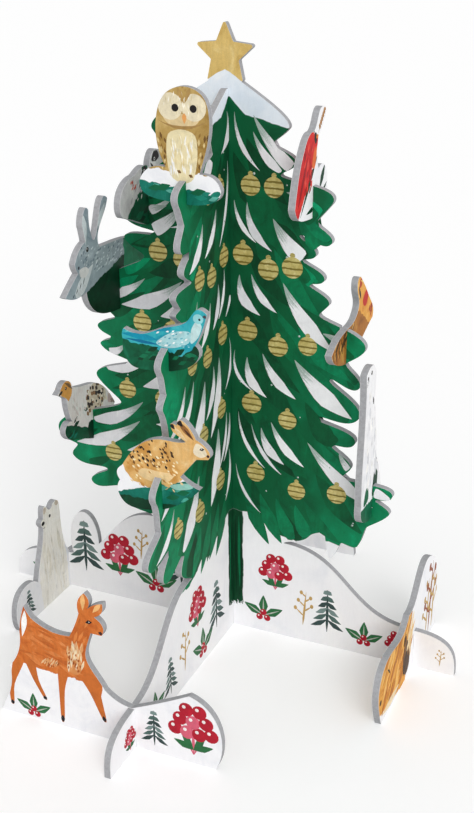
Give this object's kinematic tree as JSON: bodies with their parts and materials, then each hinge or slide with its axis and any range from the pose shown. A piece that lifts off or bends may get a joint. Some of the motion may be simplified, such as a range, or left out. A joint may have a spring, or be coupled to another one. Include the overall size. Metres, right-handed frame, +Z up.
{
  "type": "slotted board christmas tree",
  "caption": "Stand-up Christmas tree of thick printed board: crossed panels with lobed boughs and a star, and flat animals slotted on to the boughs and feet.",
  "frame": {"origin": "on the floor under the spine, where the crossed panels meet", "axes": "+Z up along the spine, +X along the right foot, -Y along the front foot"},
  "size_m": [0.23, 0.23, 0.28],
  "materials": {
    "tree_print": "matt print on grey board: fir green boughs and white snow",
    "snow_print": "matt white print on grey board",
    "gold_print": "satin gold ink",
    "toadstool_print": "matt crimson print",
    "buff_print": "matt buff print on grey board",
    "blue_print": "matt turquoise print on grey board",
    "brown_print": "matt ochre print on grey board",
    "tan_print": "matt orange-brown print on grey board",
    "grey_print": "matt blue-grey print on grey board",
    "red_print": "matt scarlet print on grey board"
  },
  "bodies": {
    "root": {"wide_panel": "tree_print", "cross_panel": "tree_print", "owl": "buff_print", "blue_bird": "blue_print", "brown_hare": "brown_print", "bird_pair": "snow_print", "grey_hare": "grey_print", "partridge": "snow_print", "red_bird": "red_print", "pheasant": "brown_print", "ermine": "snow_print", "deer": "tan_print", "bear": "snow_print", "fox": "brown_print", "rear_bank": "snow_print"}
  },
  "joints": []
}
